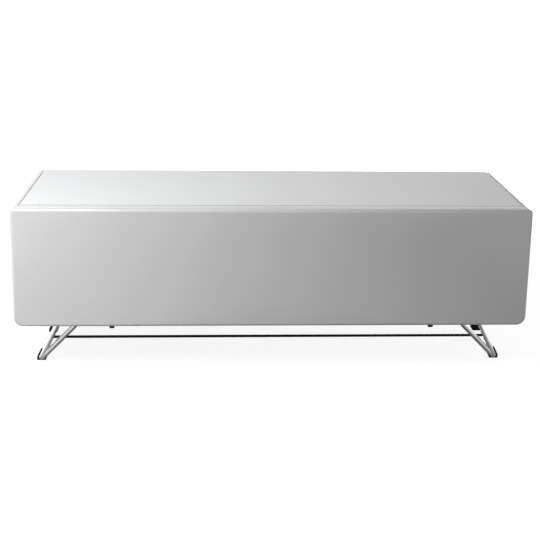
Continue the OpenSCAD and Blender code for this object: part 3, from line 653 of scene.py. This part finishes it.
def shoe_outline(foot, lean, height):
    """The shoe seen from the front, anticlockwise, as (x, z). Its outer flank leans with the leg."""
    half = TUBE_R + SHOE_WALL
    top_out = foot.x + half - lean * (height - SHOE_LOW)
    return [(foot.x - half, 0), (foot.x + half, 0), (foot.x + half, SHOE_LOW),
            (top_out, height), (top_out - SHOE_WALL * 2, height),
            (foot.x - TUBE_R, foot.z + 2 * TUBE_R),
            (foot.x - half - SHOE_WALL * FLANK_BEND, SHOE_LOW + TUBE_R * FLANK_BEND),
            (foot.x - half - SHOE_WALL, SHOE_LOW)]


def leg_shoe(arms, shoe_low, shoe_high):
    """Shoe with soft edges, cut to fit round the foot of the leg."""
    foot, top = arms[0]
    outline = shoe_outline(foot, (foot.x - top.x) / (top.z - foot.z), shoe_high[2])
    bm = bmesh.new()
    front, back = ([bm.verts.new((x, y, z)) for x, z in outline]
                   for y in (shoe_low[1], shoe_high[1]))
    bm.faces.new(front)
    bm.faces.new(reversed(back))
    for k in range(len(outline)):
        n = (k + 1) % len(outline)
        bm.faces.new((front[n], front[k], back[k], back[n]))
    bmesh.ops.recalc_face_normals(bm, faces=bm.faces)
    bmesh.ops.bevel(bm, geom=[*bm.edges], offset=SHOE_EDGE, segments=3, profile=0.5,
                    affect="EDGES")
    cutters = [arm_solid(start, end, TUBE_R + SHOE_FIT) for start, end in arms]
    return combine(solid(bm), cutters, "DIFFERENCE")


def to_corner(bm, side, end):
    """Mirrors what was built at the right front to the corner of a side and end."""
    bmesh.ops.scale(bm, vec=(side, end, 1), verts=bm.verts)
    if side * end < 0:
        bmesh.ops.reverse_faces(bm, faces=bm.faces)
    return bm


def add_legs():
    """Chrome V legs welded to their plates, and the shoes that they stand in."""
    low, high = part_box("leg_front_right")
    shoe_low, shoe_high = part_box("shoe_front_right")
    plate_low, plate_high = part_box("leg_plate_front_right")
    foot = Vector((shoe_high[0] - SHOE_WALL - TUBE_R, (low[1] + high[1]) / 2, low[2] + TUBE_R))
    rise = plate_high[2] - foot.z
    arms = ((foot, foot + Vector((-STEEP_RUN, 0, rise))),
            (foot - Vector((ARM_SPLIT, 0, 0)), foot + Vector((-SHALLOW_RUN, 0, rise))))
    for side, side_name in ((-1, "left"), (1, "right")):
        for end, end_name in ((1, "front"), (-1, "rear")):
            corner = end_name + "_" + side_name
            bm = to_corner(leg_tube(arms, plate_low[2]), side, end)
            piece = new_piece("leg_" + corner + "_tube", "leg_" + corner, bm, ROUND_CREASE)
            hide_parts("leg_" + corner)

            bm = to_corner(leg_welds(arms, plate_low[2]), side, end)
            new_piece("weld_" + corner, "leg_" + corner, bm, BEAD_CREASE)

            bm = to_corner(leg_shoe(arms, shoe_low, shoe_high), side, end)
            piece = new_piece("shoe_" + corner + "_cap", "shoe_" + corner, bm, ROUND_CREASE)
            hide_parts("shoe_" + corner)


def family(node):
    """Name of a node without the side and end that it is on."""
    for place in ("_left", "_right", "_front", "_rear"):
        node = node.removesuffix(place)
    return node


def soften(node):
    """Copy of a node with its long outer edges softened, in place of the node."""
    bm = bmesh.new()
    bm.from_mesh(nodes[node].data)
    bmesh.ops.remove_doubles(bm, verts=bm.verts, dist=SAME_CORNER)
    bmesh.ops.dissolve_limit(bm, angle_limit=math.radians(FLAT_ANGLE), verts=bm.verts,
                             edges=bm.edges)
    edges = [e for e in bm.edges if e.is_manifold and e.is_convex
             and e.calc_length() > SHORT_EDGE and e.calc_face_angle() > math.radians(EDGE_ANGLE)]
    bmesh.ops.bevel(bm, geom=edges, offset=SOFT_EDGES[family(node)], segments=2, profile=0.5,
                    affect="EDGES")
    piece = new_piece(node + "_soft", node, bm)
    normals = piece.modifiers.new("normals", "WEIGHTED_NORMAL")
    normals.keep_sharp = True
    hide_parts(node)


def add_details():
    """The pieces that take the place of plainer CAD nodes, and the welds."""
    for node in body_of:
        if family(node) in SOFT_EDGES:
            soften(node)
    for node in ("back_screws", "carcass_screws", "front_screws", "leg_screws"):
        add_screws(node, cross_outline)
    add_screws("bar_bolts", hex_outline)
    add_bumpers()
    add_legs()


def add_floor():
    """Floor that is white to look at, with the shadow of the object on it."""
    mesh = bpy.data.meshes.new("floor")
    rim = [(x * FLOOR_HALF, y * FLOOR_HALF, 0) for x, y in ((-1, -1), (1, -1), (1, 1), (-1, 1))]
    mesh.from_pydata(rim, [], [(0, 1, 2, 3)])
    floor = bpy.data.objects.new("floor", mesh)
    scene.collection.objects.link(floor)
    s = Shader("floor", Roughness=0.9, Specular_IOR_Level=0)
    mesh.materials.append(s.material)
    spot = s.add("TexCoord").outputs["Object"]
    length = s.add("VectorMath", Vector=spot)
    length.operation = "LENGTH"
    away = length.outputs["Value"]
    across = s.calculate("ABSOLUTE", s.add("SeparateXYZ", Vector=spot).outputs["X"])
    path = s.add("LightPath").outputs

    # Metal and lacquer see a floor with a painted shadow under the object, pale around it,
    # and white at its ends and further away
    painted_shadow_floor = s.mix(s.rescale(away, *PAINTED_SHADOW_FADE, 0, 1), grey(95), grey(226))
    ends = s.rescale(across, *WHITE_ACROSS, NEAR_GLOW, 1)
    far = s.rescale(away, *WHITE_FAR, NEAR_GLOW, 1)
    glow = s.calculate("MULTIPLY", path["Is Glossy Ray"], s.calculate("MAXIMUM", ends, far))
    # For other rays it is an even grey, which throws little light back on the object
    s.feed("Base Color", s.mix(path["Is Glossy Ray"], grey(165), painted_shadow_floor))

    # The camera sees it nearly white, and white from a step away, also through a pad
    seen = s.rescale(away, *WHITE_TO_CAMERA, CAMERA_GLOW, 1)
    for ray in ("Is Camera Ray", "Is Transmission Ray"):
        glow = s.calculate("ADD", glow, s.calculate("MULTIPLY", path[ray], seen))
    s.feed("Emission Color", WHITE)
    s.feed("Emission Strength", glow)


def add_world():
    """Weak fill light that is white to look at, under a dark ceiling for metal and lacquer."""
    world = bpy.data.worlds.new("studio")
    scene.world = world
    world.use_nodes = True
    studio = Nodes(world.node_tree)
    fill = studio.tree.nodes["Background"]
    studio.plug(FILL_COLOUR, fill.inputs["Color"])
    studio.plug(FILL_LIGHT, fill.inputs["Strength"])
    path = studio.add("LightPath").outputs
    way = studio.add("TexCoord").outputs["Generated"]
    height = studio.add("SeparateXYZ", Vector=way).outputs["Z"]
    ceiling = studio.rescale(height, *CEILING_Z, 1, CEILING_LIGHT)
    level = studio.mix(path["Is Glossy Ray"], 1, ceiling, kind="FLOAT")
    white = studio.add("Background", Color=WHITE, Strength=level)

    seen = path["Is Camera Ray"]
    for ray in ("Is Glossy Ray", "Is Transmission Ray"):
        seen = studio.calculate("MAXIMUM", seen, path[ray])
    both = studio.add("MixShader", Fac=seen)
    for background, socket in zip((fill, white), both.inputs[1:]):
        studio.plug(background.outputs["Background"], socket)
    studio.plug(both.outputs["Shader"], studio.tree.nodes["World Output"].inputs["Surface"])


scene.view_settings.view_transform = "Standard"
add_camera()
add_world()
add_floor()
add_lamp("key", at=(-1.38, -1.45, 2.46), aim=(-2.5, -0.26, 1.0), width=1.2, height=1.2,
         watts=106, colour=(0.97, 0.985, 1))
add_lamp("rear", at=(1.4, 2.6, 0.42), aim=(0, 0.2, 0.3), width=2.0, height=0.7,
         watts=30, colour=(1, 0.99, 0.98))
add_lamp("right", at=(2.9, 0.5, 0.42), aim=(0.75, 0.1, 0.3), width=1.2, height=0.7,
         watts=14, colour=(1, 0.99, 0.98))
finishes = dress_nodes()
add_details()
